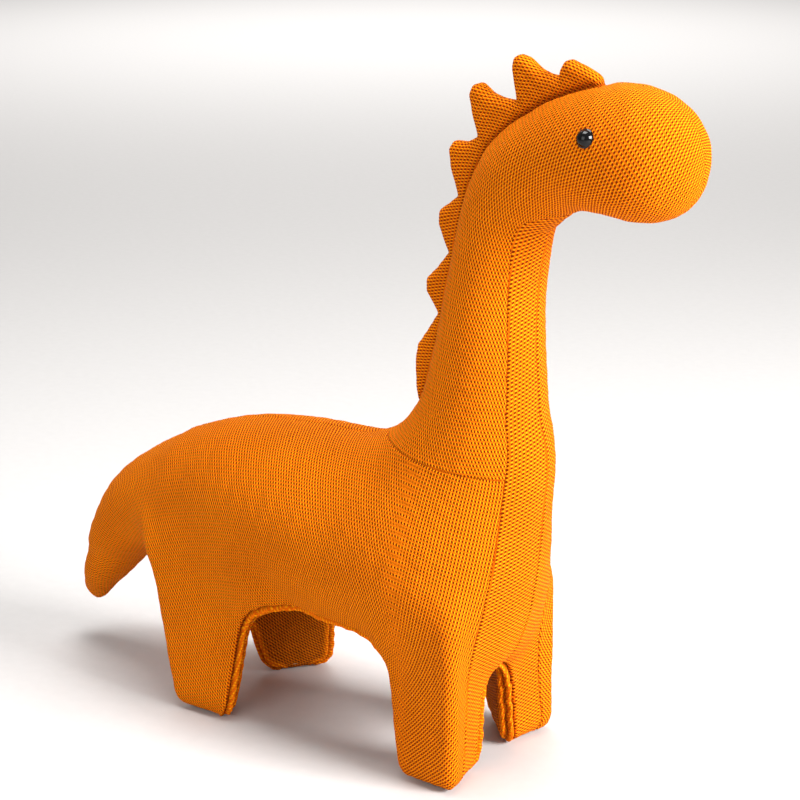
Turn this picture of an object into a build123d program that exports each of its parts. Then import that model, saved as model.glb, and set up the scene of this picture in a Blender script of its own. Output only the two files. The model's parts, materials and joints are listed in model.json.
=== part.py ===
"""Stuffed long-necked dinosaur stool: a knitted cover over foam on a rigid wooden frame.

Frame of reference: +X towards the snout, +Y to the animal's left, +Z up.
The origin is on the floor, in the middle of the animal's length and width.
All sizes are millimetres.
"""

from build123d import *
import os
from math import cos, radians, sin, sqrt

# ---------------------------------------------------------------- driving dimensions
COVER = 3.0  # knitted cover with its backing
BELLY_Z = 149.0  # height of the flat belly above the floor
LEG_TOP_Z = 225.0  # where the leg forms end, inside the body

# Soft body form, tail tip to chest: x, z, lean of the section (degrees), half height, half width
BODY_STATIONS = [
    (-414, 77, 56, 20, 15),
    (-390, 111, 53, 29, 33),
    (-316, 198, 37, 51, 56),
    (-213, 239, 14, 79, 83),
    (-123, 249, 2, 101, 102),
    (5, 243, 0, 115, 115),
    (90, 243, 0, 114, 114),
    (133, 248, 0, 109, 110),
]
TAIL_CAP = 20.0  # length of the rounded tail tip
CHEST_CAP = 116.0  # length of the rounded chest

# Neck and head form, neck root to face: same columns
NECK_STATIONS = [
    (126, 262, 64, 108, 86),
    (169, 345, 77, 88, 76),
    (181, 414, 83, 69, 68),
    (192, 531, 82, 53, 58),
    (211, 631, 68, 50, 54),
    (230, 667, 50, 54, 55),
    (253, 692, 30, 58, 58),
    (287, 705, 9, 64, 63),
    (331, 709, 0, 67, 67),
    (370, 706, -3, 65, 63),
]
ROOT_CAP = 40.0  # rounding of the neck root, buried in the body
SNOUT_CAP = 64.0  # length of the rounded snout

# Rounded triangular leg sections, x and y of three corner centres: rear or front, inner, outer
FRONT_LEG = {
    "sole": [(148, 96), (191, 46), (204, 97)],
    "belly": [(123, 78), (193, 28), (203, 96)],
    "top": [(100, 74), (190, 20), (182, 76)],
}
HIND_LEG = {
    "sole": [(-122, 96), (-152, 47), (-168, 96)],
    "belly": [(-100, 78), (-212, 46), (-206, 90)],
    "top": [(-80, 80), (-215, 36), (-205, 76)],
}
LEG_RADIUS = 12.0
LEGS = {
    "front_right": (FRONT_LEG, -1),
    "front_left": (FRONT_LEG, 1),
    "hind_right": (HIND_LEG, -1),
    "hind_left": (HIND_LEG, 1),
}

# Wooden frame
POST_RADIUS = 13.0
POSTS = {
    "front_right": (180, -70),
    "front_left": (180, 70),
    "hind_right": (-146, -70),
    "hind_left": (-146, 70),
}
PAD_THICKNESS = 6.0  # felt pad under each post
BOARD_BOTTOM = 236.0
BOARD_THICKNESS = 15.0
BOARD_TOP = BOARD_BOTTOM + BOARD_THICKNESS
BOARD_CORNER = 14.0
RAIL_HEIGHT = 40.0
RAIL_THICKNESS = 18.0
RAIL_Z = BOARD_BOTTOM - RAIL_HEIGHT / 2
SIDE_RAIL_Y = 62.0
NECK_POST_FOOT = (140, BOARD_TOP)
NECK_POST_HEAD = (214, 646)
NECK_POST_SIZE = (26.0, 40.0)
BRACE_REACH = 62.0
BRACE_HEIGHT = 78.0
PLY = 12.0
SCREW_RADIUS = 2.0
SCREW_LENGTH = 45.0
SCREW_HEAD = 4.0

# Cuts between the blocks of foam and fibre
LEG_CUT = BELLY_Z + COVER  # leg blocks below
BELLY_CUT = 175.0  # belly sheet below, flank and chest blocks above
NECK_CUT = 330.0
HEAD_CUT = 626.0
BODY_TOP = 400.0
HEAD_TOP = 900.0
TAIL_TIP_X = -500.0
TAIL_X = -245.0
RUMP_X = -110.0
NECK_X = 85.0
CHEST_X = 150.0
CHEST_FRONT_X = 300.0
SNOUT_X = 500.0
CHEST_BLOCK = [
    (CHEST_X, BELLY_CUT),
    (CHEST_FRONT_X, BELLY_CUT),
    (CHEST_FRONT_X, NECK_CUT),
    (NECK_X, NECK_CUT),
    (NECK_X, BOARD_TOP),
    (CHEST_X, BOARD_TOP),
]

# Crest of seven padded spikes: tips and the valleys between them, x and z
CREST_FRONT = (326, 776)
CREST_TIPS = [(279, 802), (217, 802), (162, 769), (132, 708), (115, 629), (101, 554), (88, 476)]
CREST_VALLEYS = [(266, 777), (221, 750), (176, 710), (151, 647), (137, 582), (124, 512)]
CREST_END = (92, 398)
CREST_ROOT = [(120, 402), (165, 470), (178, 560), (196, 640), (226, 690), (280, 725), (322, 735)]
CREST_TIP_RADIUS = 7.0
CREST_VALLEY_RADIUS = 6.0
CREST_HALF = 11.0  # half thickness of the crest

# Seams of the cover. Half plan of the underside panel, x and y, front to back
UNDERSIDE_OUTLINE = [
    (204, 0),
    (204, 26),
    (192, 47),
    (148, 99),
    (110, 84),
    (-92, 84),
    (-122, 99),
    (-155, 48),
    (-202, 40),
    (-210, 0),
]
UNDERSIDE_TOP = 171.0
# Edge of the chest gusset seen from the front, y and z, floor to throat
GUSSET_EDGE = [
    (83, COVER),
    (78, 60),
    (72, 180),
    (61, 260),
    (46, 390),
    (39, 480),
    (41, 610),
    (0, 650),
]
# Space in front of the gusset's seams, x and z
FRONT_REGION = [
    (188, 3),
    (196, 150),
    (150, 240),
    (160, 330),
    (192, 480),
    (202, 600),
    (240, 650),
    (300, 650),
    (300, 3),
]
# Space above the seam between body and neck, x and z
NECK_REGION = [(60, 378), (130, 366), (260, 353), (500, 353), (500, 900), (60, 900)]
REGION_LENGTH = 500.0
HALF_REGION = [(-REGION_LENGTH, 0), (REGION_LENGTH, 0), (REGION_LENGTH, 900), (-REGION_LENGTH, 900)]
FOOT_REGIONS = {
    "front": [(0, 0), (300, 0), (300, COVER), (0, COVER)],
    "hind": [(-300, 0), (0, 0), (0, COVER), (-300, COVER)],
}
REGION_HALF = 150.0  # reaches past the widest point of the body

# Domed eye with a shank and a locking washer
EYE_CENTRE = (336, 62, 728)
EYE_TILT = 18.0  # the head wall leans back, so the eye looks a little upwards
EYE_RADIUS = 9.5
EYE_DOME = 7.5
SHANK_RADIUS = 2.4
SHANK_LENGTH = 16.0
WASHER_RADIUS = 10.0
WASHER_THICKNESS = 1.6


# ---------------------------------------------------------------- helper functions
def cross_section(x, z, lean, half_height, half_width):
    """An elliptical section that stands across the spine of a soft form."""
    across = Plane(origin=(x, 0, z), x_dir=(0, 1, 0), z_dir=(cos(radians(lean)), 0, sin(radians(lean))))
    with BuildSketch(across) as outline:
        Ellipse(half_width, half_height)
    return outline.sketch


def cap_stations(end, length, outwards):
    """Stations of a rounded end that closes a soft form beyond its last full section."""
    x, z, lean, half_height, half_width = end
    stations = []
    for angle in (32, 54, 70, 82):
        reach = outwards * length * sin(radians(angle))
        shrink = cos(radians(angle))
        stations.append(
            (
                x + reach * cos(radians(lean)),
                z + reach * sin(radians(lean)),
                lean,
                half_height * shrink,
                half_width * shrink,
            )
        )
    return stations


def tube_sections(stations, start_cap, end_cap, inset):
    """Sections of a closed soft form, pulled in by inset for the form under the cover."""
    inner = [(x, z, lean, height - inset, width - inset) for x, z, lean, height, width in stations]
    start = cap_stations(inner[0], start_cap - inset, -1)
    end = cap_stations(inner[-1], end_cap - inset, 1)
    return [cross_section(*station) for station in start[::-1] + inner + end]


def leg_section(corners, side, radius, height):
    """A rounded triangle: outer, front and slanting inner face of a leg."""
    with BuildSketch(Plane.XY.offset(height)) as outline:
        with Locations(*[(x, side * y) for x, y in corners]):
            Circle(radius)
        make_hull()
    return outline.sketch


def soft_form(inset):
    """The whole stuffed body without its crest; inset 0 is the outside of the cover."""
    with BuildPart() as form:
        loft(tube_sections(BODY_STATIONS, TAIL_CAP, CHEST_CAP, inset))
        with Locations((0, 0, BELLY_Z + inset)):
            Box(560, 300, 100, align=(Align.CENTER, Align.CENTER, Align.MAX), mode=Mode.SUBTRACT)
        loft(tube_sections(NECK_STATIONS, ROOT_CAP, SNOUT_CAP, inset))
        for leg, side in LEGS.values():
            radius = LEG_RADIUS - inset
            sole = leg_section(leg["sole"], side, radius, inset)
            belly = leg_section(leg["belly"], side, radius, BELLY_Z)
            loft([sole, belly, leg_section(leg["top"], side, radius, LEG_TOP_Z)])
    return form.part


def side_prism(outline, side=0):
    """A prism across the animal from an x, z outline; side -1 right half, 1 left half, 0 both."""
    y_from = 0 if side > 0 else -REGION_HALF
    y_to = 0 if side < 0 else REGION_HALF
    with BuildPart() as prism:
        with BuildSketch(Plane.XZ.offset(-y_to)):
            Polygon(*outline, align=None)
        extrude(amount=y_to - y_from)
    return prism.part


def oblong(x_from, x_to, z_from, z_to):
    """The x, z outline of a rectangle."""
    return [(x_from, z_from), (x_to, z_from), (x_to, z_to), (x_from, z_to)]


def fill_block(space, outline, side, cut_by):
    """A block of filling: the part of a space that lies in an outline, cut around the frame."""
    with BuildPart() as block:
        add(space)
        add(side_prism(outline, side), mode=Mode.INTERSECT)
        add(cut_by, mode=Mode.SUBTRACT)
    return block.part


def cover_panel(cover, region, cut_by=()):
    """The piece of the cover that lies in a region, with any holes cut in it."""
    with BuildPart() as panel:
        add(cover)
        add(region, mode=Mode.INTERSECT)
        for cutter in cut_by:
            add(cutter, mode=Mode.SUBTRACT)
    return panel.part


def corners_at(outline, points):
    """The corners of a sketch that stand at given points."""
    return [corner for corner in outline.vertices() if (round(corner.X), round(corner.Y)) in points]


def eye_plane(side):
    """The plane of an eye's base, with its z axis out of the head."""
    x, y, z = EYE_CENTRE
    tilt = radians(EYE_TILT)
    return Plane(origin=(x, side * y, z), x_dir=(1, 0, 0), z_dir=(0, side * cos(tilt), sin(tilt)))


os.makedirs("parts", exist_ok=True)
pieces = {}

# ---------------------------------------------------------------- soft envelopes
envelope = soft_form(0)
under_cover = soft_form(COVER)

# ---------------------------------------------------------------- wooden frame
BOARD_SCREWS = list(POSTS.values()) + [(x, side * SIDE_RAIL_Y) for x in (-70, 90) for side in (-1, 1)]
NECK_SCREWS = [(NECK_POST_FOOT[0], y) for y in (-11, 11)]
HEAD_DEPTH = SCREW_HEAD - SCREW_RADIUS

with BuildPart() as frame_screws:
    for x, y in BOARD_SCREWS:
        with Locations((x, y, BOARD_TOP)):
            Cylinder(SCREW_RADIUS, SCREW_LENGTH, align=(Align.CENTER, Align.CENTER, Align.MAX))
            Cone(SCREW_RADIUS, SCREW_HEAD, HEAD_DEPTH, align=(Align.CENTER, Align.CENTER, Align.MAX))
    for x, y in NECK_SCREWS:
        with Locations((x, y, BOARD_BOTTOM)):
            Cylinder(SCREW_RADIUS, SCREW_LENGTH, align=(Align.CENTER, Align.CENTER, Align.MIN))
            Cone(SCREW_HEAD, SCREW_RADIUS, HEAD_DEPTH, align=(Align.CENTER, Align.CENTER, Align.MIN))
pieces["frame_screws"] = frame_screws.part

with BuildPart() as seat_board:
    with BuildSketch(Plane.XY.offset(BOARD_BOTTOM)):
        with Locations(*POSTS.values()):
            Circle(BOARD_CORNER)
        make_hull()
    extrude(amount=BOARD_THICKNESS)
    add(frame_screws.part, mode=Mode.SUBTRACT)
pieces["seat_board"] = seat_board.part

for corner, (x, y) in POSTS.items():
    with BuildPart() as foot_pad:
        with BuildSketch(Plane.XY.offset(COVER)):
            with Locations((x, y)):
                Circle(POST_RADIUS)
        extrude(amount=PAD_THICKNESS)
    pieces[f"{corner}_foot_pad"] = foot_pad.part

    with BuildPart() as leg_post:
        with BuildSketch(Plane.XY.offset(COVER + PAD_THICKNESS)):
            with Locations((x, y)):
                Circle(POST_RADIUS)
        extrude(amount=BOARD_BOTTOM - COVER - PAD_THICKNESS)
        add(frame_screws.part, mode=Mode.SUBTRACT)
    pieces[f"{corner}_leg_post"] = leg_post.part

for end in ("front", "hind"):
    post_x, post_y = POSTS[f"{end}_left"]
    with BuildPart() as cross_rail:
        with Locations((post_x, 0, RAIL_Z)):
            Box(RAIL_THICKNESS, 2 * post_y, RAIL_HEIGHT)
        with Locations((post_x, -post_y, RAIL_Z), (post_x, post_y, RAIL_Z)):
            Cylinder(POST_RADIUS, RAIL_HEIGHT, mode=Mode.SUBTRACT)
    pieces[f"{end}_cross_rail"] = cross_rail.part

front_x = POSTS["front_left"][0] - RAIL_THICKNESS / 2
hind_x = POSTS["hind_left"][0] + RAIL_THICKNESS / 2
for hand, side in (("right", -1), ("left", 1)):
    with BuildPart() as side_rail:
        with Locations(((front_x + hind_x) / 2, side * SIDE_RAIL_Y, RAIL_Z)):
            Box(front_x - hind_x, RAIL_THICKNESS, RAIL_HEIGHT)
        with Locations((*POSTS[f"front_{hand}"], RAIL_Z), (*POSTS[f"hind_{hand}"], RAIL_Z)):
            Cylinder(POST_RADIUS, RAIL_HEIGHT, mode=Mode.SUBTRACT)
        add(frame_screws.part, mode=Mode.SUBTRACT)
    pieces[f"{hand}_side_rail"] = side_rail.part

post_run = NECK_POST_HEAD[0] - NECK_POST_FOOT[0]
post_rise = NECK_POST_HEAD[1] - NECK_POST_FOOT[1]
post_length = sqrt(post_run**2 + post_rise**2)
post_plane = Plane(
    origin=(NECK_POST_FOOT[0], 0, NECK_POST_FOOT[1]), x_dir=(0, 1, 0), z_dir=(post_run, 0, post_rise)
)
with BuildPart() as neck_post:
    with BuildSketch(post_plane.offset(-RAIL_THICKNESS)):
        Rectangle(NECK_POST_SIZE[1], NECK_POST_SIZE[0])
    extrude(amount=post_length + 2 * RAIL_THICKNESS)
    split(bisect_by=Plane.XY.offset(BOARD_TOP), keep=Keep.TOP)
    split(bisect_by=Plane.XY.offset(NECK_POST_HEAD[1]), keep=Keep.BOTTOM)
    add(frame_screws.part, mode=Mode.SUBTRACT)
pieces["neck_post"] = neck_post.part

for name, direction in (("front_neck_brace", 1), ("rear_neck_brace", -1)):
    foot = NECK_POST_FOOT[0] + direction * NECK_POST_SIZE[0] / 2
    with BuildPart() as neck_brace:
        with BuildSketch(Plane.XZ.offset(-PLY / 2)):
            Polygon(
                (NECK_POST_FOOT[0], BOARD_TOP),
                (foot + direction * BRACE_REACH, BOARD_TOP),
                (NECK_POST_FOOT[0] + post_run * BRACE_HEIGHT / post_rise, BOARD_TOP + BRACE_HEIGHT),
                align=None,
            )
        extrude(amount=PLY)
        add(neck_post.part, mode=Mode.SUBTRACT)
        add(frame_screws.part, mode=Mode.SUBTRACT)
    pieces[name] = neck_brace.part

head_x, head_z = NECK_POST_HEAD
with BuildPart() as head_board:
    with BuildSketch(Plane.XZ.offset(-PLY / 2)):
        Polygon(
            (head_x - 12, head_z),
            (head_x + 12, head_z),
            (head_x + 90, head_z + 34),
            (head_x + 170, head_z + 42),
            (head_x + 170, head_z + 78),
            (head_x + 90, head_z + 92),
            (head_x + 20, head_z + 56),
            align=None,
        )
    extrude(amount=PLY)
pieces["head_board"] = head_board.part

frame_pieces = list(pieces.values())

# ---------------------------------------------------------------- eyes and their washers
eye_pieces = []
for hand, side in (("right", -1), ("left", 1)):
    dome_radius = (EYE_RADIUS**2 + EYE_DOME**2) / (2 * EYE_DOME)
    with BuildPart(eye_plane(side)) as eye:
        with Locations((0, 0, EYE_DOME - dome_radius)):
            Sphere(dome_radius)
        split(bisect_by=eye_plane(side), keep=Keep.TOP)
        Cylinder(SHANK_RADIUS, SHANK_LENGTH, align=(Align.CENTER, Align.CENTER, Align.MAX))
    pieces[f"{hand}_eye"] = eye.part

    with BuildPart(eye_plane(side).offset(-COVER)) as eye_washer:
        Cylinder(WASHER_RADIUS, WASHER_THICKNESS, align=(Align.CENTER, Align.CENTER, Align.MAX))
        Hole(SHANK_RADIUS)
    pieces[f"{hand}_eye_washer"] = eye_washer.part
    eye_pieces += [eye.part, eye_washer.part]

# ---------------------------------------------------------------- foam and fibre filling
middle_blocks = {
    "tail_fill": oblong(TAIL_TIP_X, TAIL_X, 0, BODY_TOP),
    "belly_foam": oblong(TAIL_X, CHEST_FRONT_X, LEG_CUT, BELLY_CUT),
    "rump_foam": oblong(TAIL_X, RUMP_X, BOARD_TOP, BODY_TOP),
    "back_foam": oblong(RUMP_X, NECK_X, BOARD_TOP, BODY_TOP),
    "chest_foam": CHEST_BLOCK,
    "head_fill": oblong(0, SNOUT_X, HEAD_CUT, HEAD_TOP),
}
paired_blocks = {
    "hind_{}_leg_foam": oblong(TAIL_X, 0, 0, LEG_CUT),
    "front_{}_leg_foam": oblong(0, CHEST_FRONT_X, 0, LEG_CUT),
    "{}_flank_foam": oblong(TAIL_X, CHEST_X, BELLY_CUT, BOARD_TOP),
    "{}_neck_foam": oblong(NECK_X, CHEST_FRONT_X, NECK_CUT, HEAD_CUT),
}
cutters = frame_pieces + eye_pieces
for name, outline in middle_blocks.items():
    pieces[name] = fill_block(under_cover, outline, 0, cutters)
for name, outline in paired_blocks.items():
    for hand, side in (("right", -1), ("left", 1)):
        pieces[name.format(hand)] = fill_block(under_cover, outline, side, cutters)

# ---------------------------------------------------------------- padded crest
crest_outline = [CREST_FRONT]
for tip, valley in zip(CREST_TIPS, CREST_VALLEYS + [CREST_END]):
    crest_outline += [tip, valley]
crest_outline += CREST_ROOT

with BuildSketch(Plane.XZ) as crest_shape:
    Polygon(*crest_outline, align=None)
    fillet(corners_at(crest_shape, CREST_TIPS), radius=CREST_TIP_RADIUS)
    fillet(corners_at(crest_shape, CREST_VALLEYS), radius=CREST_VALLEY_RADIUS)
with BuildSketch(Plane.XZ) as crest_core:
    add(crest_shape.sketch_local)
    offset(amount=-COVER)

with BuildPart() as crest_fill:
    extrude(crest_core.sketch, amount=CREST_HALF - COVER, both=True)
    add(envelope, mode=Mode.SUBTRACT)
pieces["crest_fill"] = crest_fill.part

for hand, side in (("right", -1), ("left", 1)):
    with BuildPart() as crest_panel:
        extrude(crest_shape.sketch, amount=-side * CREST_HALF)
        add(envelope, mode=Mode.SUBTRACT)
        add(crest_fill.part, mode=Mode.SUBTRACT)
    pieces[f"{hand}_crest_panel"] = crest_panel.part

# ---------------------------------------------------------------- knitted cover
with BuildPart() as cover:
    add(envelope)
    add(under_cover, mode=Mode.SUBTRACT)

with BuildPart() as sole_layer:
    Box(700, 300, COVER, align=(Align.CENTER, Align.CENTER, Align.MIN))

with BuildPart() as underside_region:
    with BuildSketch(Plane.XY.offset(COVER)):
        Polygon(*UNDERSIDE_OUTLINE, *[(x, -y) for x, y in UNDERSIDE_OUTLINE[::-1]], align=None)
    extrude(amount=UNDERSIDE_TOP - COVER)

neck_region = side_prism(NECK_REGION)

for hand, side in (("right", -1), ("left", 1)):
    half = side_prism(HALF_REGION, side)
    for end in ("front", "hind"):
        region = side_prism(FOOT_REGIONS[end], side)
        pieces[f"{end}_{hand}_sole"] = cover_panel(cover.part, region)

    with BuildPart() as gusset_region:
        with BuildSketch(Plane.YZ):
            Polygon((0, COVER), *[(side * y, z) for y, z in GUSSET_EDGE], align=None)
        extrude(amount=REGION_LENGTH)
        add(side_prism(FRONT_REGION), mode=Mode.INTERSECT)
    below = [sole_layer.part, underside_region.part]
    pieces[f"{hand}_chest_gusset"] = cover_panel(cover.part, gusset_region.part, below)

    upper = neck_region & half
    pieces[f"{hand}_neck_panel"] = cover_panel(cover.part, upper, [gusset_region.part, *eye_pieces])

    taken = below + [gusset_region.part, neck_region]
    pieces[f"{hand}_side_panel"] = cover_panel(cover.part, half, taken)

pieces["underside_panel"] = cover_panel(cover.part, underside_region.part)

for name, piece in pieces.items():
    piece.label = name
    export_step(piece, f"parts/{name}.step")
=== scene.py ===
"""Looks of the stuffed dinosaur: knitted panels over padding, a padded crest, glossy eyes, inner frame.

Metres, in the row frame: +X towards the snout, +Y to the animal's left, +Z up.
"""

import json
import math

import bmesh
import bpy
import numpy as np
import openvdb
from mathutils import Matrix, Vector
from mathutils.kdtree import KDTree


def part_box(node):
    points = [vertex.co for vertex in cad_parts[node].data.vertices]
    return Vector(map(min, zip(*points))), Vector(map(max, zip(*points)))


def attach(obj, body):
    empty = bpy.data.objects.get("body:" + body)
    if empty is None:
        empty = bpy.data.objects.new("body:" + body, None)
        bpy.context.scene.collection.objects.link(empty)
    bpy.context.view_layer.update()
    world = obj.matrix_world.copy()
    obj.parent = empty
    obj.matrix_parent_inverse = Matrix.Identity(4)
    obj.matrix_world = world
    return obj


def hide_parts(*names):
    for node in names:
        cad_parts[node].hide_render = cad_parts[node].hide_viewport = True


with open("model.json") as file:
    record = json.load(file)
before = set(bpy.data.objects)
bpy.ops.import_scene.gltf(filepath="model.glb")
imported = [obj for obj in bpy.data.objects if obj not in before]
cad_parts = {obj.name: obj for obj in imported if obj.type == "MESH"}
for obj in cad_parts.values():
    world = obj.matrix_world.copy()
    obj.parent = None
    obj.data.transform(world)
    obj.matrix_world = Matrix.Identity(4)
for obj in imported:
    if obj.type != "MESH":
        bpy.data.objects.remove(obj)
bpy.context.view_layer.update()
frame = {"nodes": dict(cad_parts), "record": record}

STEP = 0.0034  # spacing of the surface grid
CREST_STEP = 0.7 * STEP

# Soft form, as sections along the animal: x, z, half height, half width
TORSO = [
    (-0.414, 0.075, 0.020, 0.012),
    (-0.389, 0.113, 0.029, 0.035),
    (-0.316, 0.202, 0.050, 0.056),
    (-0.214, 0.238, 0.077, 0.082),
    (-0.123, 0.250, 0.101, 0.102),
    (0.006, 0.241, 0.117, 0.115),
    (0.111, 0.233, 0.119, 0.113),
    (0.134, 0.253, 0.103, 0.100),
]
NECK = [
    (0.125, 0.255, 0.113, 0.087),
    (0.169, 0.346, 0.092, 0.076),
    (0.181, 0.414, 0.070, 0.067),
    (0.192, 0.531, 0.053, 0.058),
    (0.210, 0.631, 0.050, 0.053),
    (0.230, 0.666, 0.054, 0.054),
]
HEAD = [
    (0.263, 0.700, 0.048, 0.057),
    (0.287, 0.705, 0.057, 0.063),
    (0.331, 0.711, 0.066, 0.067),
    (0.364, 0.708, 0.067, 0.065),
    (0.376, 0.701, 0.059, 0.053),
]
BELLY_Z = 0.149
LEG_TOP = 0.210
# Leg corner centres, x and y, at the heights of LEG_Z: rear or front, inner, outer
LEG_Z = [0.0, 0.149, 0.225]
FRONT_LEG = [
    [(0.151, 0.096), (0.191, 0.046), (0.204, 0.097)],
    [(0.123, 0.078), (0.193, 0.028), (0.203, 0.096)],
    [(0.111, 0.069), (0.192, 0.019), (0.197, 0.090)],
]
HIND_LEG = [
    [(-0.122, 0.096), (-0.155, 0.047), (-0.178, 0.096)],
    [(-0.100, 0.078), (-0.214, 0.046), (-0.211, 0.090)],
    [(-0.089, 0.069), (-0.242, 0.045), (-0.235, 0.086)],
]
LEG_ROUND = 0.012
WEB = ((0.200, 0.0, 0.195), (0.036, 0.060, 0.068))  # fullness between the tops of the front legs
GROIN = ((-0.070, 0.070, 0.176), (0.040, 0.030, 0.032))  # fullness in front of each hind leg
CHEST_SWELL = 0.0015
# Widths of the smooth blends where the forms meet
TORSO_BLEND = 0.02
NECK_BLEND = 0.05
HEAD_BLEND = 0.03
LEG_BLEND = 0.045
FOOT_BLEND = 0.026
HIP_BLEND = 0.03

# Seam around the underside, on the outer walls: x and height
UNDER_SEAM = [
    (-0.14, -0.10), (-0.108, 0.0), (-0.102, 0.041), (-0.093, 0.082), (-0.083, 0.109), (-0.075, 0.130),
    (-0.067, 0.149), (-0.056, 0.155), (-0.035, 0.159), (0.0, 0.161), (0.060, 0.160), (0.083, 0.156),
    (0.095, 0.147), (0.106, 0.134), (0.115, 0.112), (0.124, 0.080), (0.132, 0.040), (0.139, 0.0),
    (0.16, -0.10),
]
# Seam down each leg: how far it lies from the centres of the leg's first and second corner
LEG_SEAMS = [
    (FRONT_LEG, (-0.012, 0.003), (0.013, -0.005)),
    (HIND_LEG, (0.009, 0.008), (-0.011, -0.005)),
]
# The inner faces of the legs lie in shade; their knit carries the underside's painted shadow
INNER_FRONT_X, INNER_REAR_X = 0.203, -0.214  # where the dark inner faces of the legs end
INNER_TOP_Z = 0.172
INNER_EDGE = (0.085, 0.150, 0.8)  # y and height where the inner face's top edge starts, slope inwards
UNDER_SLANT = 0.6  # distance from the seam around the underside, per metre of height

# Seam between the chest gussets and the sides: height and half width, narrowing to a point under the chin
GUSSET_SEAM = [
    (0.0, 0.084), (0.031, 0.083), (0.056, 0.078), (0.117, 0.074), (0.179, 0.072), (0.209, 0.068),
    (0.257, 0.061), (0.317, 0.053), (0.355, 0.050), (0.388, 0.045), (0.484, 0.038), (0.549, 0.038),
    (0.614, 0.040), (0.648, 0.035), (0.668, 0.021), (0.684, -0.001), (0.9, -0.1),
]
GUSSET_TOP_Z = 0.68
# A line inside the animal, height and x: the gussets lie in front of it
GUSSET_BACK = [(0.0, 0.165), (0.15, 0.17), (0.24, 0.10), (0.33, 0.15), (0.48, 0.19), (0.65, 0.235)]
CHIN_X = 0.245  # past this the gusset narrows with x too, as it runs forwards under the chin
NECK_SEAM = (0.130, 0.366, -0.1)  # x, height there and slope
SOLE_Z = 0.0035

# Outline of the padded crest, x and z
CREST = [
    (0.326, 0.774), (0.314, 0.785), (0.297, 0.793), (0.282, 0.798), (0.274, 0.795), (0.270, 0.787),
    (0.268, 0.780), (0.259, 0.781), (0.247, 0.786), (0.232, 0.796), (0.221, 0.799), (0.214, 0.795),
    (0.212, 0.783), (0.216, 0.765), (0.219, 0.751), (0.202, 0.752), (0.187, 0.757), (0.174, 0.766),
    (0.164, 0.763), (0.160, 0.753), (0.164, 0.735), (0.172, 0.710), (0.159, 0.703), (0.140, 0.703),
    (0.134, 0.694), (0.137, 0.676), (0.147, 0.645), (0.137, 0.637), (0.123, 0.627), (0.122, 0.611),
    (0.136, 0.582), (0.121, 0.563), (0.108, 0.550), (0.107, 0.536), (0.122, 0.513), (0.108, 0.492),
    (0.095, 0.474), (0.092, 0.455), (0.093, 0.425), (0.098, 0.400),
    (0.130, 0.402), (0.160, 0.470), (0.172, 0.560), (0.186, 0.640), (0.216, 0.690), (0.270, 0.735),
    (0.322, 0.745),
]
CREST_ROUND = 0.0105
CREST_HIDDEN = 0.008  # depth inside the body past which the crest has no cover


# ---------------------------------------------------------------- soft forms as distance fields
def smooth_min(a, b, k):
    h = np.clip(0.5 + 0.5 * (b - a) / k, 0, 1)
    return b + (a - b) * h - k * h * (1 - h)


def smooth_max(a, b, k):
    return -smooth_min(-a, -b, k)


def spline(rows, steps=6):
    """A smooth run of sections through the given ones."""
    p = np.array(rows, float)
    p = np.vstack([2 * p[0] - p[1], p, 2 * p[-1] - p[-2]])
    out = []
    for a, b, c, d in zip(p, p[1:], p[2:], p[3:]):
        for t in np.arange(steps) / steps:
            square = (2 * a - 5 * b + 4 * c - d) * t**2
            cube = (3 * b - a - 3 * c + d) * t**3
            out.append(0.5 * (2 * b + (c - a) * t + square + cube))
    out.append(p[-2])
    return np.array(out)


def follow(line, at):
    """The second number of a line of pairs, between its points."""
    return np.interp(at, *zip(*line))


def tube(x, y, z, rows):
    """Distance from a tube of elliptical sections along the animal's middle plane."""
    line = spline(rows)
    best = np.full(x.shape, 1e9)
    for p, q in zip(line, line[1:]):
        d = q[:2] - p[:2]
        t = np.clip(((x - p[0]) * d[0] + (z - p[1]) * d[1]) / (d @ d), 0, 1)
        high, wide = p[2] + t * (q[2] - p[2]), p[3] + t * (q[3] - p[3])
        n2 = (x - p[0] - t * d[0]) ** 2 + (z - p[1] - t * d[1]) ** 2
        r = np.sqrt(n2 / high**2 + (y / wide) ** 2)
        g = np.sqrt(n2 / high**4 + y**2 / wide**4) + 1e-9
        best = np.minimum(best, r * (r - 1) / g)
    return best


def polygon(px, py, corners):
    """Signed distance from a polygon whose corners may be arrays."""
    d = np.full(px.shape, 1e9)
    inside = np.ones(px.shape)
    for (xi, yi), (xj, yj) in zip(corners, corners[-1:] + corners[:-1]):
        ex, ey, wx, wy = xj - xi, yj - yi, px - xi, py - yi
        t = np.clip((wx * ex + wy * ey) / (ex * ex + ey * ey + 1e-12), 0, 1)
        d = np.minimum(d, (wx - ex * t) ** 2 + (wy - ey * t) ** 2)
        above, below, left = py >= yi, py < yj, ex * wy > ey * wx
        inside = np.where((above & below & left) | (~above & ~below & ~left), -inside, inside)
    return inside * np.sqrt(d)


def leg_corners(leg, z):
    return [tuple(np.interp(z, LEG_Z, [row[i][k] for row in leg]) for k in (0, 1)) for i in range(3)]


def leg_form(x, y, z, leg):
    v = polygon(x, y, leg_corners(leg, z)) - LEG_ROUND
    v = smooth_max(v, -z, FOOT_BLEND)
    return smooth_max(v, z - LEG_TOP, HIP_BLEND)


def ellipsoid(x, y, z, middle, radii):
    a, b, c = ((v - m) / r for v, m, r in zip((x, y, z), middle, radii))
    r = np.sqrt(a**2 + b**2 + c**2)
    return r * (r - 1) / (np.sqrt((a / radii[0]) ** 2 + (b / radii[1]) ** 2 + (c / radii[2]) ** 2) + 1e-9)


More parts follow.
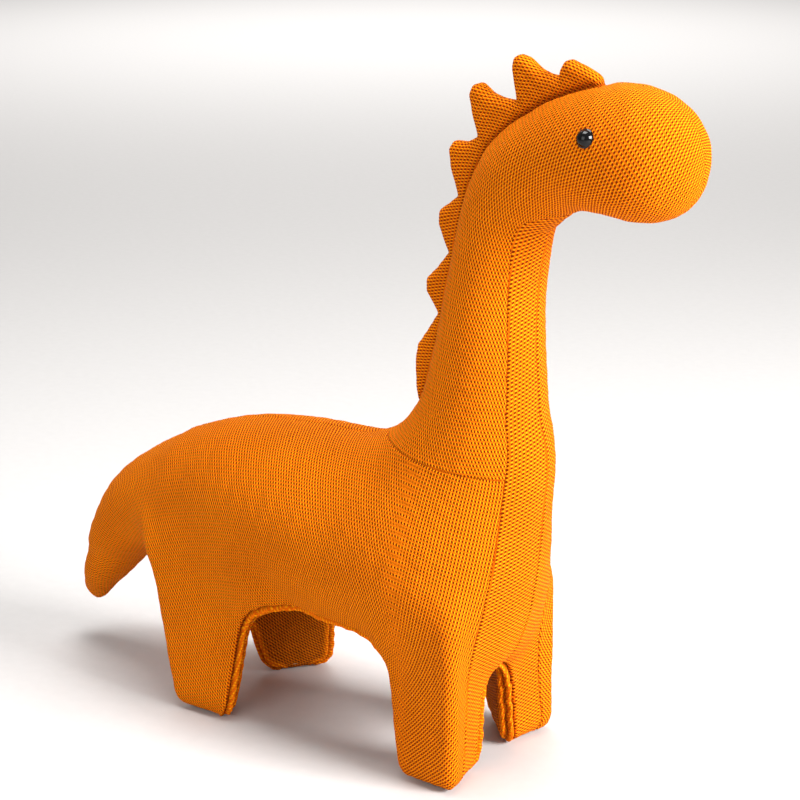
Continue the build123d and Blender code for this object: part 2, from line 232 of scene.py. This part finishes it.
def body_field(p):
    """Distance from the stuffed body: torso, tail, neck, head and legs in one form."""
    x, y, z = p[:, 0], np.abs(p[:, 1]), p[:, 2]
    v = smooth_max(tube(x, y, z, TORSO), BELLY_Z - z, TORSO_BLEND)
    v = smooth_min(v, tube(x, y, z, TORSO[:4]), TORSO_BLEND)
    v = smooth_min(v, tube(x, y, z, NECK), NECK_BLEND)
    v = smooth_min(v, tube(x, y, z, HEAD), HEAD_BLEND)
    v = smooth_min(v, ellipsoid(x, y, z, *WEB), TORSO_BLEND)
    v = smooth_min(v, ellipsoid(x, y, z, *GROIN), TORSO_BLEND)
    v = v - CHEST_SWELL * np.clip((x - 0.15) / 0.05, 0, 1) * np.clip((0.60 - z) / 0.10, 0, 1)
    v = smooth_min(v, leg_form(x, y, z, FRONT_LEG), LEG_BLEND)
    return smooth_min(v, leg_form(x, y, z, HIND_LEG), LEG_BLEND)


def crest_field(p):
    """Distance from the crest: a puffed strip with the outline of the spikes."""
    flat = polygon(p[:, 0], p[:, 2], CREST)
    w = np.stack([flat + CREST_ROUND, np.abs(p[:, 1])], axis=1)
    return np.minimum(w.max(1), 0) + np.linalg.norm(np.maximum(w, 0), axis=1) - CREST_ROUND


CORNERS = np.array([(1, -1, -1), (-1, -1, 1), (-1, 1, -1), (1, 1, 1)], float)


def sample(field, p, e=0.0012):
    """Value, unit outward direction and slope of a field at points."""
    values = [field(p + e * corner) for corner in CORNERS]
    g = sum(v[:, None] * corner for v, corner in zip(values, CORNERS)) / (4 * e)
    slope = np.linalg.norm(g, axis=1) + 1e-9
    return sum(values) / 4, g / slope[:, None], slope


def settle(field, p, rounds=1):
    """Points moved onto the field's surface."""
    for _ in range(rounds):
        value, n, slope = sample(field, p)
        p = p - n * np.clip(value / slope, -0.004, 0.004)[:, None]
    return p


def skin(field, low, high, step):
    """An even quad mesh of a field's surface."""
    coarse, low = 4, np.array(low, float)
    count = (np.ceil((np.array(high) - low) / step / coarse).astype(int) + 1) * coarse
    axes = [low[i] + step * np.arange(count[i]) for i in range(3)]
    grid = np.stack(np.meshgrid(*axes, indexing="ij"), axis=-1)
    rough = field(grid[::coarse, ::coarse, ::coarse].reshape(-1, 3) + step * (coarse - 1) / 2)
    rough = rough.reshape(count // coarse)
    value = rough.repeat(coarse, 0).repeat(coarse, 1).repeat(coarse, 2)
    near = np.abs(value) < 3.2 * coarse * step
    value[near] = field(grid[near])
    volume = openvdb.FloatGrid(0.1)
    volume.copyFromArray(value.astype(np.float32))
    points, quads = volume.convertToQuads(0.0)
    points = np.array(points, float) * step + low
    for _ in range(4):
        total, times = np.zeros_like(points), np.zeros(len(points))
        for i in range(4):
            for j in (1, 3):
                np.add.at(total, quads[:, i], points[quads[:, (i + j) % 4]])
                np.add.at(times, quads[:, i], 1)
        points = 0.4 * points + 0.6 * total / times[:, None]
    return settle(field, points, 2), quads


# ---------------------------------------------------------------- seams and panels
def under_level(p):
    """Negative on the underside panel: belly and inner faces of the legs."""
    x, y, z = p[:, 0], np.abs(p[:, 1]), p[:, 2]
    level = UNDER_SLANT * (z - follow(UNDER_SEAM, x))
    edge_y, edge_z, slope = INNER_EDGE
    top = np.minimum(INNER_TOP_Z, edge_z + slope * (edge_y - y))
    for leg, outer, inner in LEG_SEAMS:
        (ax, ay), (bx, by), _ = leg_corners(leg, z)
        ax, ay, bx, by = ax + outer[0], ay + outer[1], bx + inner[0], by + inner[1]
        front = leg is FRONT_LEG
        side = (bx - ax) * (y - ay) - (by - ay) * (x - ax)
        side = side / np.hypot(bx - ax, by - ay) * (1 if front else -1)
        end = x - INNER_FRONT_X if front else INNER_REAR_X - x
        face = np.maximum(np.maximum(side, end), z - top)
        level = np.minimum(level, np.where((x > 0) == front, face, 1.0))
    return level


def gusset_level(p):
    """Negative on the two chest gussets, from the front legs up to the throat."""
    x, y, z = p[:, 0], np.abs(p[:, 1]), p[:, 2]
    level = y - follow(GUSSET_SEAM, z + np.maximum(x - CHIN_X, 0))
    return np.where((x > follow(GUSSET_BACK, z)) & (z < GUSSET_TOP_Z), level, np.nan)


def neck_level(p):
    """Positive above the seam between body and neck."""
    at, height, slope = NECK_SEAM
    return p[:, 2] - (height + slope * (p[:, 0] - at))


def panel_of(p):
    """The name of the panel that each point lies on."""
    hand = np.where(p[:, 1] < 0, "right", "left")
    end = np.where(p[:, 0] < 0, "hind", "front")
    name = np.char.add(hand, "_side_panel")
    name = np.where(neck_level(p) > 0, np.char.add(hand, "_neck_panel"), name)
    name = np.where(gusset_level(p) < 0, np.char.add(hand, "_chest_gusset"), name)
    name = np.where(under_level(p) < 0, "underside_panel", name)
    return np.where(p[:, 2] < SOLE_Z, np.char.add(np.char.add(end, "_"), np.char.add(hand, "_sole")), name)


def coordinates(mesh):
    return np.array([v.co for v in mesh.verts], float).reshape(-1, 3)


def cut(mesh, level, slack=0.0005):
    """Splits the faces of a bmesh along the line where level is zero."""
    value = level(coordinates(mesh))
    mesh.verts.index_update()
    on = {v for v in mesh.verts if abs(value[v.index]) < slack}
    crossing = []
    for e in mesh.edges:
        a, b = value[e.verts[0].index], value[e.verts[1].index]
        if a * b < 0 and min(abs(a), abs(b)) >= slack:
            crossing.append((e, a / (a - b)))
    faces = {f for v in on for f in v.link_faces} | {f for e, _ in crossing for f in e.link_faces}
    for e, t in crossing:
        on.add(bmesh.utils.edge_split(e, e.verts[0], t)[1])
    for f in sorted(faces, key=lambda f: f.index):
        ends = [v for v in f.verts if v in on]
        if len(ends) == 2 and not any(e.other_vert(ends[0]) == ends[1] for e in ends[0].link_edges):
            bmesh.utils.face_split(f, ends[0], ends[1])
    mesh.verts.index_update()
    mesh.faces.index_update()


STRONG, MEDIUM, SOFT = "strong", "medium", "soft"


def seam_kind(a, b):
    if "sole" in a + b:
        return SOFT
    if "underside" in a + b:
        return STRONG
    if "gusset" in a + b:
        return MEDIUM
    return SOFT


# A seam's groove and the swell beside it: depth, half width; height, distance from the seam, half width
SEAM_SHAPES = {
    STRONG: (0.0036, 0.0017, 0.0008, 0.0050, 0.0030),
    MEDIUM: (0.0012, 0.0013, 0.0005, 0.0034, 0.0020),
    SOFT: (0.0009, 0.0013, 0.0003, 0.0030, 0.0020),
}
# How strong the painted shade is in each kind of seam groove
SEAM_SHADE = {STRONG: 0.9, MEDIUM: 0.35, SOFT: 0.3}
# Rolls and fold of the underside panel's turned-in band: distance from the seam, height, half width
BAND = [(0.0044, 0.0034, 0.0026), (0.0088, -0.0030, 0.0015), (0.0125, 0.0019, 0.0024)]
BAND_WIDTH = 0.017
TUCK_DEPTH, TUCK_WIDTH = 0.0032, 0.0032
SEAM_ALLOWANCE = 0.004
# Unevenness of the padding, in radians per metre
FINE_RIPPLE = np.array([420.0, 160.0, 380.0])
BROAD_RIPPLE = np.array([95.0, -60.0, 120.0])


def bell(d, middle, wide):
    return np.exp(-(((d - middle) / wide) ** 2))


def sewn(points, normals, trees, band=False, beside=None):
    """Pulls the surface in at the seams and swells it beside them.

    Also returns how much painted shade each point gets in the seam grooves, and how near the band it lies,
    where the painted shadow of the underside stops.
    """
    x, y, z = points.T
    move, groove_shade, near = np.zeros(len(points)), np.zeros(len(points)), np.zeros(len(points))
    fade = np.where(z > 0.5, np.clip((0.66 - z) / 0.10, 0.35, 1), 1)  # seams are flatter on the head
    ripple = 1 + 0.10 * np.sin(points @ FINE_RIPPLE) + 0.08 * np.sin(points @ BROAD_RIPPLE + 1)
    for kind, tree in trees.items():
        d = np.array([tree.find(p)[2] for p in points])
        depth, narrow, swell, away, wide = SEAM_SHAPES[kind]
        groove = bell(d, 0, narrow) * fade
        move += swell * bell(d, away, wide) * ripple * fade - depth * groove
        # Painted shade in the seam's groove
        groove_shade = np.maximum(groove_shade, groove * SEAM_SHADE[kind])
        if kind == STRONG and band:
            for middle, height, half in BAND:
                move += height * bell(d, middle, half) * ripple * np.clip(z / 0.015, 0, 1)
            # Painted shade in the fold of the band
            groove_shade = np.maximum(groove_shade, 0.8 * bell(d, BAND[1][0], 0.0016))
            # Near the band the painted shadow of the underside gives way to the unshaded yarn colours
            near = np.clip((BAND_WIDTH - d) / 0.003, 0, 1)
    if beside is not None:
        tuck = bell(beside(points), 0.0005, TUCK_WIDTH)
        move -= TUCK_DEPTH * tuck
        # Painted shade in the groove at the base of the crest
        groove_shade = np.maximum(groove_shade, 0.85 * tuck)
    broad = np.sin(31 * x + 17 * y + 5) * np.sin(27 * z - 13 * x)
    wave = broad + 0.5 * np.sin(71 * x - 43 * z) * np.sin(67 * y + 39 * z)
    rough = 0.0003 * np.sin(260 * x + 140 * z) * np.sin(230 * z - 170 * y + 90 * x)
    shaped = points + normals * (move + 0.0007 * wave + rough)[:, None]
    shaped[:, 2] = np.maximum(shaped[:, 2], 0)
    return shaped, groove_shade, near


def new_object(name, points, faces):
    mesh = bpy.data.meshes.new(name)
    mesh.from_pydata([tuple(p) for p in points], [], [tuple(int(i) for i in f) for f in faces])
    mesh.update()
    obj = bpy.data.objects.new(name, mesh)
    bpy.context.scene.collection.objects.link(obj)
    return obj


def knit_map(obj, along, at):
    """A stitch map in metres: an even unwrap, turned so that its first axis runs along a direction."""
    bpy.context.view_layer.objects.active = obj
    for other in bpy.context.selected_objects:
        other.select_set(False)
    obj.select_set(True)
    obj.data.uv_layers.new(name="Knit")
    bpy.ops.object.mode_set(mode="EDIT")
    bpy.ops.mesh.select_all(action="SELECT")
    bpy.ops.uv.unwrap(method="MINIMUM_STRETCH", margin=0, iterations=12)
    bpy.ops.object.mode_set(mode="OBJECT")
    mesh = obj.data
    uv = np.zeros(len(mesh.loops) * 2)
    mesh.uv_layers["Knit"].data.foreach_get("uv", uv)
    uv = uv.reshape(-1, 2)
    vert = np.zeros(len(mesh.loops), int)
    mesh.loops.foreach_get("vertex_index", vert)
    co = np.zeros(len(mesh.vertices) * 3)
    mesh.vertices.foreach_get("co", co)
    co = co.reshape(-1, 3)[vert]
    mesh.calc_loop_triangles()
    tri = np.array([t.loops for t in mesh.loop_triangles])
    a, b, c = (co[tri[:, i]] for i in range(3))
    ua, ub, uc = (uv[tri[:, i]] for i in range(3))
    area = np.linalg.norm(np.cross(b - a, c - a), axis=1).sum() / 2
    flat = np.abs(np.cross(ub - ua, uc - ua)).sum() / 2
    uv = uv * math.sqrt(area / flat)
    weight = np.exp(-np.linalg.norm(co - np.array(at), axis=1) / 0.03)
    middle = (co * weight[:, None]).sum(0) / weight.sum()
    flat_middle = (uv * weight[:, None]).sum(0) / weight.sum()
    away = (co - middle) @ np.array(along)
    direction = ((uv - flat_middle) * (weight * away)[:, None]).sum(0)
    direction /= np.linalg.norm(direction)
    turn = np.array([[direction[0], -direction[1]], [direction[1], direction[0]]])
    uv = (uv - flat_middle) @ turn
    mesh.uv_layers["Knit"].data.foreach_set("uv", uv.ravel())


def refine(obj, tree, reach):
    """One finer level of faces near the seams."""
    mesh = bmesh.new()
    mesh.from_mesh(obj.data)
    edges = [e for e in mesh.edges if tree.find((e.verts[0].co + e.verts[1].co) / 2)[2] < reach]
    bmesh.ops.subdivide_edges(mesh, edges=edges, cuts=1, use_grid_fill=True)
    mesh.to_mesh(obj.data)
    mesh.free()


def turn_rims(obj, field):
    """Turns the open edges of a panel inwards, as a seam allowance does."""
    mesh = bmesh.new()
    mesh.from_mesh(obj.data)
    rim = [e for e in mesh.edges if e.is_boundary]
    made = bmesh.ops.extrude_edge_only(mesh, edges=rim)["geom"]
    new = [v for v in made if isinstance(v, bmesh.types.BMVert)]
    p = np.array([v.co for v in new])
    for v, q in zip(new, p - sample(field, p)[1] * SEAM_ALLOWANCE):
        v.co = q
    bmesh.ops.recalc_face_normals(mesh, faces=mesh.faces)
    mesh.to_mesh(obj.data)
    mesh.free()
    obj.data.shade_smooth()


def sew(obj, field, trees, band=False, beside=None):
    """Gives a mapped panel the shape of its seams."""
    co = settle(field, np.array([v.co for v in obj.data.vertices], float))
    shaped, groove_shade, near = sewn(co, sample(field, co)[1], trees, band, beside)
    obj.data.vertices.foreach_set("co", shaped.ravel())
    # Attributes for the material: the painted shade of the seam grooves, and the band where the underside's
    # painted shadow stops
    for name, values in (("Seam", groove_shade), ("UnshadedBand", near)):
        obj.data.attributes.new(name, "FLOAT", "POINT").data.foreach_set("value", values.astype(np.float32))
    turn_rims(obj, field)


# ---------------------------------------------------------------- knitted body
# Which way the rows of stitches run, and near which point; "side" is for the underside panel too
KNIT_RUNS = {
    "side": ((1, 0, 0), (0.02, 0.115, 0.25)),
    "neck": ((0.99, 0, -0.12), (0.20, 0.06, 0.50)),
    "gusset": ((0, 0.42, 0.91), (0.24, 0.02, 0.35)),
    "sole": ((1, 0, 0), (0.17, 0.08, 0.0)),
}
# How far from the seams each finer level of faces reaches
NEAR_ANY_SEAM, NEAR_STRONG_SEAM, CLOSE_TO_STRONG_SEAM = 0.010, 0.018, 0.016


def grown_tree(points):
    tree = KDTree(len(points))
    for i, p in enumerate(points):
        tree.insert(p, i)
    tree.balance()
    return tree


points, quads = skin(body_field, (-0.45, -0.13, -0.012), (0.45, 0.13, 0.79), STEP)
body = bmesh.new()
verts = [body.verts.new(p) for p in points]
for q in quads:
    body.faces.new([verts[i] for i in q])
body.verts.index_update()
body.faces.index_update()
for level in (lambda p: p[:, 1], under_level, gusset_level, neck_level, lambda p: p[:, 2] - SOLE_Z):
    cut(body, level)

co = coordinates(body)
centre = np.array([f.calc_center_median() for f in body.faces])
panel = panel_of(centre)
seams = {STRONG: [], MEDIUM: [], SOFT: []}
for e in body.edges:
    if len(e.link_faces) == 2:
        a, b = (panel[f.index] for f in e.link_faces)
        if a != b:
            p, q = (np.array(v.co) for v in e.verts)
            seams[seam_kind(a, b)] += [p, (p + q) / 2, q]
trees = {kind: grown_tree(found) for kind, found in seams.items()}
all_tree = grown_tree(seams[STRONG] + seams[MEDIUM] + seams[SOFT])

faces = [[v.index for v in f.verts] for f in body.faces]
body.free()
cover = {}
for name in sorted(set(panel)):
    chosen = [faces[i] for i in np.flatnonzero(panel == name)]
    used = sorted({i for f in chosen for i in f})
    index = {old: new for new, old in enumerate(used)}
    obj = new_object(name + "_knit", co[used], [[index[i] for i in f] for f in chosen])
    run = next(KNIT_RUNS[key] for key in KNIT_RUNS if key in name)
    at = run[1] if "left" in name or "underside" in name else (run[1][0], -run[1][1], run[1][2])
    knit_map(obj, run[0], at)
    refine(obj, all_tree, NEAR_ANY_SEAM)
    refine(obj, trees[STRONG], NEAR_STRONG_SEAM)
    refine(obj, trees[STRONG], CLOSE_TO_STRONG_SEAM)
    banded = "underside" in name or "sole" in name
    sew(obj, body_field, trees, banded, crest_field if "neck" in name else None)
    cover[name] = obj

# ---------------------------------------------------------------- padded crest
points, quads = skin(crest_field, (0.08, -0.016, 0.39), (0.34, 0.016, 0.81), CREST_STEP)
inside = body_field(points[quads].mean(1)) < -CREST_HIDDEN
quads = quads[~inside]
for hand, side in (("right", -1), ("left", 1)):
    crest = bmesh.new()
    used = np.unique(quads)
    verts = {i: crest.verts.new(points[i]) for i in used}
    for q in quads:
        crest.faces.new([verts[i] for i in q])
    crest.verts.index_update()
    cut(crest, lambda p: p[:, 1])
    lost = [f for f in crest.faces if f.calc_center_median()[1] * side < 0]
    bmesh.ops.delete(crest, geom=lost, context="FACES")
    name = hand + "_crest_panel"
    obj = new_object(name + "_knit", [], [])
    crest.to_mesh(obj.data)
    crest.free()
    edge = [np.array(v.co) for v in obj.data.vertices if abs(v.co.y) < 0.0006]
    tree = grown_tree(edge)
    knit_map(obj, (0, 0, 1), (0.14, side * 0.01, 0.60))
    sew(obj, crest_field, {SOFT: tree}, beside=body_field)
    cover[name] = obj

# ---------------------------------------------------------------- eyes
# Dome and rim of an eye: radius and height above the cover
EYE_PROFILE = [
    (0.0000, 0.0078), (0.0020, 0.0076), (0.0040, 0.0069), (0.0058, 0.0057), (0.0073, 0.0040),
    (0.0084, 0.0020), (0.0089, 0.0006), (0.0096, 0.0004), (0.0101, -0.0004), (0.0099, -0.0014),
    (0.0080, -0.0020), (0.0000, -0.0022),
]


def lathe(name, profile, around=48):
    angles = np.linspace(0, 2 * math.pi, around, endpoint=False)
    rings = [[(r * math.cos(a), r * math.sin(a), h) for a in angles] for r, h in profile[1:-1]]
    points = [(0, 0, profile[0][1])] + [p for ring in rings for p in ring] + [(0, 0, profile[-1][1])]
    faces = [(0, 1 + i, 1 + (i + 1) % around) for i in range(around)]
    for k in range(len(rings) - 1):
        a, b = 1 + k * around, 1 + (k + 1) * around
        faces += [(a + i, b + i, b + (i + 1) % around, a + (i + 1) % around) for i in range(around)]
    last, end = 1 + (len(rings) - 1) * around, len(points) - 1
    faces += [(last + (i + 1) % around, last + i, end) for i in range(around)]
    obj = new_object(name, points, faces)
    obj.data.shade_smooth()
    return obj


eyes = []
for hand in ("right", "left"):
    p = settle(body_field, np.mean(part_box(hand + "_eye"), axis=0)[None, :], 4)
    n = sample(body_field, p)[1]
    eye = lathe(hand + "_eye_dome", EYE_PROFILE)
    eye.rotation_mode = "QUATERNION"
    eye.rotation_quaternion = Vector(n[0]).to_track_quat("Z", "Y")
    eye.location = p[0]
    eyes.append(eye)
    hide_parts(hand + "_eye")
    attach(eye, "root")


# ---------------------------------------------------------------- materials
class Nodes:
    """Short calls for building a material's nodes."""

    def __init__(self, name, rough, sheen=0.0):
        self.material = bpy.data.materials.new(name)
        self.material.use_nodes = True
        self.tree = self.material.node_tree
        self.shader = self.tree.nodes["Principled BSDF"]
        self.shader.inputs["Roughness"].default_value = rough
        self.shader.inputs["Sheen Weight"].default_value = sheen

    def link(self, value, socket):
        if isinstance(value, (int, float)):
            socket.default_value = value
        elif isinstance(value, tuple):
            socket.default_value = (*value, 1)
        else:
            self.tree.links.new(value, socket)

    def math(self, kind, a, b=0.0):
        node = self.tree.nodes.new("ShaderNodeMath")
        node.operation = kind
        for value, socket in zip((a, b), node.inputs):
            self.link(value, socket)
        return node.outputs[0]

    def blend(self, share, a, b):
        """A number between a and b."""
        rest = self.math("SUBTRACT", 1.0, share)
        return self.math("ADD", self.math("MULTIPLY", a, rest), self.math("MULTIPLY", b, share))

    def oval(self, x, y, half_sizes):
        """0 in the middle of an ellipse and 1 on its rim."""
        shares = [self.math("DIVIDE", v, half) for v, half in zip((x, y), half_sizes)]
        return self.math("ADD", *[self.math("POWER", share, 2.0) for share in shares])

    def mix(self, share, a, b):
        """A colour between a and b."""
        node = self.tree.nodes.new("ShaderNodeMix")
        node.data_type = "RGBA"
        self.link(share, node.inputs["Factor"])
        self.link(a, node.inputs[6])
        self.link(b, node.inputs[7])
        return node.outputs[2]

    def step(self, value, low, high):
        """Rises smoothly from 0 at low to 1 at high."""
        node = self.tree.nodes.new("ShaderNodeMapRange")
        node.interpolation_type = "SMOOTHSTEP"
        self.link(value, node.inputs["Value"])
        node.inputs["From Min"].default_value = low
        node.inputs["From Max"].default_value = high
        return node.outputs[0]

    def place(self):
        """The point in the object's own coordinates."""
        return self.tree.nodes.new("ShaderNodeTexCoord").outputs["Object"]

    def noise(self, scale, detail):
        node = self.tree.nodes.new("ShaderNodeTexNoise")
        node.inputs["Scale"].default_value = scale
        node.inputs["Detail"].default_value = detail
        self.link(self.place(), node.inputs["Vector"])
        return node.outputs["Fac"]

    def bump(self, height, distance):
        node = self.tree.nodes.new("ShaderNodeBump")
        node.inputs["Distance"].default_value = distance
        self.link(height, node.inputs["Height"])
        self.link(node.outputs[0], self.shader.inputs["Normal"])

    def colour(self, value):
        self.link(value, self.shader.inputs["Base Color"])


def knit_material(name, yarn, shade, hole_shade, straight=False, edge=None, across=0.0036, along=0.0041):
    """Honeycomb knit: rows of slanting yarn loops beside dark stitch holes, their darkness painted shade.

    A straight knit turns to aligned rows towards the chest. Edge gives the unshaded yarn and shade that the
    band's rolls keep, where the painted shadow of the underside stops.
    """
    n = Nodes(name, rough=0.9, sheen=0.03)
    n.shader.inputs["Specular IOR Level"].default_value = 0.05
    n.shader.inputs["Sheen Roughness"].default_value = 0.5
    n.shader.inputs["Sheen Tint"].default_value = (1.0, 0.40, 0.05, 1)
    uv = n.tree.nodes.new("ShaderNodeUVMap")
    uv.uv_map = "Knit"
    split = n.tree.nodes.new("ShaderNodeSeparateXYZ")
    n.link(uv.outputs[0], split.inputs[0])
    wander = n.math("MULTIPLY", n.math("SUBTRACT", n.noise(70, 2), 0.5), 0.0014)
    row = n.math("DIVIDE", n.math("ADD", split.outputs[1], wander), along)
    column = n.math("DIVIDE", n.math("ADD", split.outputs[0], wander), across)
    y = n.math("SUBTRACT", n.math("FRACT", row), 0.5)

    def stitches(shift, slant, hole_size, loop_size):
        slid = n.math("ADD", column, n.math("MULTIPLY", n.math("FLOOR", row), shift))
        moved = n.math("ADD", slid, n.math("MULTIPLY", y, slant))
        x = n.math("SUBTRACT", n.math("FRACT", moved), 0.5)
        beside = n.math("SUBTRACT", 0.5, n.math("ABSOLUTE", x))
        gap = n.step(n.oval(x, y, hole_size), 0.25, 1.3)
        loop = n.step(n.oval(beside, y, loop_size), 0.15, 1.3)
        return n.math("SUBTRACT", 1.0, gap), n.math("SUBTRACT", 1.0, loop)

    gap, loop = stitches(0.5, 0.30, (0.27, 0.38), (0.27, 0.43))
    if straight:
        where = n.tree.nodes.new("ShaderNodeSeparateXYZ")
        n.link(n.place(), where.inputs[0])
        share = n.step(where.outputs[0], 0.115, 0.165)
        straight_gap, straight_loop = stitches(0.0, 0.1, (0.31, 0.36), (0.28, 0.46))
        gap = n.blend(share, gap, straight_gap)
        loop = n.blend(share, loop, straight_loop)
    relief = n.math("SUBTRACT", n.math("MULTIPLY", loop, 0.5), n.math("MULTIPLY", gap, 0.7))
    height = n.math("ADD", relief, n.math("MULTIPLY", n.noise(1500, 2), 0.2))
    base = n.mix(loop, shade, yarn)
    patches = n.math("MULTIPLY", n.step(n.noise(9, 3), 0.35, 0.70), 0.25)
    base = n.mix(patches, base, tuple(0.75 * c for c in shade))
    base = n.mix(n.math("MULTIPLY", gap, 0.95), base, hole_shade)
    seam = n.tree.nodes.new("ShaderNodeAttribute")
    seam.attribute_name = "Seam"
    # Near the band the underside's painted shadow gives way to the unshaded yarn and shade
    if edge:
        band = n.tree.nodes.new("ShaderNodeAttribute")
        band.attribute_name = "UnshadedBand"
        base = n.mix(band.outputs["Fac"], base, n.mix(loop, edge[1], edge[0]))
    # Painted shade: the seam grooves are darkened towards the hole colour
    n.colour(n.mix(n.math("MULTIPLY", seam.outputs["Fac"], 0.8), base, hole_shade))
    n.bump(height, 0.0014)
    return n.material


# Knit colours: the yarn, the darker shade between its loops, and the painted shade of the stitch holes,
# which also darkens the seam grooves
YARN, SHADE, HOLE_SHADE = (1.0, 0.335, 0.003), (0.80, 0.145, 0.001), (0.17, 0.010, 0.0005)
# Painted shadow: a darker copy of the knit colours for the underside, the inner faces of the legs and the
# soles, which lie in shade
SHADOWED_YARN, SHADOWED_SHADE, SHADOWED_HOLE = (0.74, 0.20, 0.003), (0.48, 0.095, 0.002), (0.10, 0.010, 0.0008)
knit = knit_material("orange_knit", YARN, SHADE, HOLE_SHADE)
knit_chest = knit_material("orange_knit_chest", YARN, SHADE, HOLE_SHADE, across=0.0044, along=0.0046)
knit_side = knit_material("orange_knit_side", YARN, SHADE, HOLE_SHADE, straight=True)
knit_shadowed = knit_material("orange_knit_underside_painted_shadow", SHADOWED_YARN, SHADOWED_SHADE, SHADOWED_HOLE, edge=(YARN, SHADE))


def knit_for(name):
    # The underside, the inner faces of the legs and the soles take the knit with painted shadow
    if "underside" in name or "sole" in name:
        return knit_shadowed
    if "side" in name:
        return knit_side
    return knit_chest if "gusset" in name else knit


for name, obj in cover.items():
    obj.data.materials.append(knit_for(name))
    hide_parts(name)
    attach(obj, "root")

# The filling that each panel hides; the foot pads go too, because the rounded feet would show their rims
FILLING = {
    "underside_panel": ["belly_foam"],
    "right_crest_panel": ["crest_fill"],
    "right_side_panel": ["right_flank_foam", "back_foam", "rump_foam", "tail_fill"],
    "left_side_panel": ["left_flank_foam"],
    "right_chest_gusset": ["chest_foam"],
    "right_neck_panel": ["right_neck_foam", "head_fill"],
    "left_neck_panel": ["left_neck_foam"],
    "front_right_sole": ["front_right_leg_foam", "front_right_foot_pad"],
    "front_left_sole": ["front_left_leg_foam", "front_left_foot_pad"],
    "hind_right_sole": ["hind_right_leg_foam", "hind_right_foot_pad"],
    "hind_left_sole": ["hind_left_leg_foam", "hind_left_foot_pad"],
}
for name, nodes in FILLING.items():
    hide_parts(*nodes)

gloss = Nodes("eye_gloss_black", rough=0.10)
gloss.shader.inputs["Specular IOR Level"].default_value = 0.28
gloss.colour(gloss.mix(gloss.noise(240, 2), (0.0015, 0.0015, 0.002), (0.004, 0.004, 0.005)))
for eye in eyes:
    eye.data.materials.append(gloss.material)


def wood_material(name, light, dark, scale):
    n = Nodes(name, rough=0.65)
    wave = n.tree.nodes.new("ShaderNodeTexWave")
    wave.bands_direction = "Y"
    wave.inputs["Scale"].default_value = scale
    wave.inputs["Distortion"].default_value = 6.0
    wave.inputs["Detail"].default_value = 3.0
    n.link(n.place(), wave.inputs["Vector"])
    grain = wave.outputs["Fac"]
    n.colour(n.mix(grain, light, n.mix(n.noise(300, 4), dark, light)))
    n.bump(grain, 0.0003)
    return n.material


def plain_material(name, light, dark, rough, scale, height, metal=0.0):
    n = Nodes(name, rough=rough)
    spots = n.noise(scale, 4)
    n.colour(n.mix(spots, light, dark))
    n.bump(spots, height)
    n.shader.inputs["Metallic"].default_value = metal
    return n.material


INNER = {
    "pine": wood_material("pine_sawn", (0.66, 0.46, 0.25), (0.44, 0.26, 0.12), 9.0),
    "plywood": wood_material("birch_plywood", (0.70, 0.54, 0.34), (0.52, 0.37, 0.20), 40.0),
    "felt": plain_material("grey_felt", (0.07, 0.065, 0.06), (0.03, 0.028, 0.026), 0.95, 900.0, 0.0006),
    "screw_steel": plain_material(
        "zinc_plated_steel", (0.62, 0.60, 0.55), (0.45, 0.44, 0.42), 0.35, 500.0, 0.0001, metal=1.0
    ),
    "washer_plastic": plain_material(
        "white_plastic", (0.78, 0.77, 0.73), (0.70, 0.69, 0.66), 0.5, 400.0, 0.0001
    ),
}
for part in frame["record"]["subparts"]:
    if part["material_slot"] in INNER:
        mesh = frame["nodes"][part["node"]].data
        mesh.materials.clear()
        mesh.materials.append(INNER[part["material_slot"]])

# ---------------------------------------------------------------- floor, light and camera
FLOOR_HALF = 30
floor_corners = [(x * FLOOR_HALF, y * FLOOR_HALF, 0) for x, y in ((-1, -1), (1, -1), (1, 1), (-1, 1))]
floor = new_object("floor", floor_corners, [(0, 1, 2, 3)])
pale = plain_material("pale_floor", (0.60, 0.585, 0.575), (0.56, 0.545, 0.535), 0.9, 60.0, 0.0003)
floor.data.materials.append(pale)

bpy.context.scene.view_settings.view_transform = "Standard"
world = bpy.data.worlds.new("studio")
bpy.context.scene.world = world
world.use_nodes = True
world.node_tree.nodes["Background"].inputs["Color"].default_value = (1.0, 0.98, 0.96, 1)
world.node_tree.nodes["Background"].inputs["Strength"].default_value = 0.31


def softbox(name, place, target, size, watts):
    light = bpy.data.lights.new(name, "AREA")
    light.shape = "SQUARE"
    light.size = size
    light.energy = watts
    obj = bpy.data.objects.new(name, light)
    bpy.context.scene.collection.objects.link(obj)
    obj.location = place
    obj.rotation_mode = "QUATERNION"
    obj.rotation_quaternion = (Vector(target) - Vector(place)).to_track_quat("-Z", "Y")


softbox("key", (3.3, 0.3, 1.8), (0.05, 0.0, 0.4), 1.5, 275)
softbox("fill", (0.3, -3.6, 1.7), (0.05, 0.0, 0.35), 2.4, 52)
softbox("top", (0.0, 0.1, 3.2), (0.0, 0.0, 0.3), 1.6, 92)
softbox("back", (-4.5, 6.5, 4.0), (-4.4, 6.4, 0.0), 5.0, 360)

aim = Vector((0.069, 0.0, 0.404))
azimuth, down = math.radians(35.43), math.radians(16.26)
distance = 2.241
camera_data = bpy.data.cameras.new("camera")
camera_data.lens = 90
camera_data.sensor_width = 36
camera = bpy.data.objects.new("camera", camera_data)
bpy.context.scene.collection.objects.link(camera)
outward = Vector((math.sin(azimuth), -math.cos(azimuth), 0))
camera.location = aim + distance * (math.cos(down) * outward + Vector((0, 0, math.sin(down))))
camera.rotation_mode = "QUATERNION"
camera.rotation_quaternion = (aim - camera.location).to_track_quat("-Z", "Y")
bpy.context.scene.camera = camera
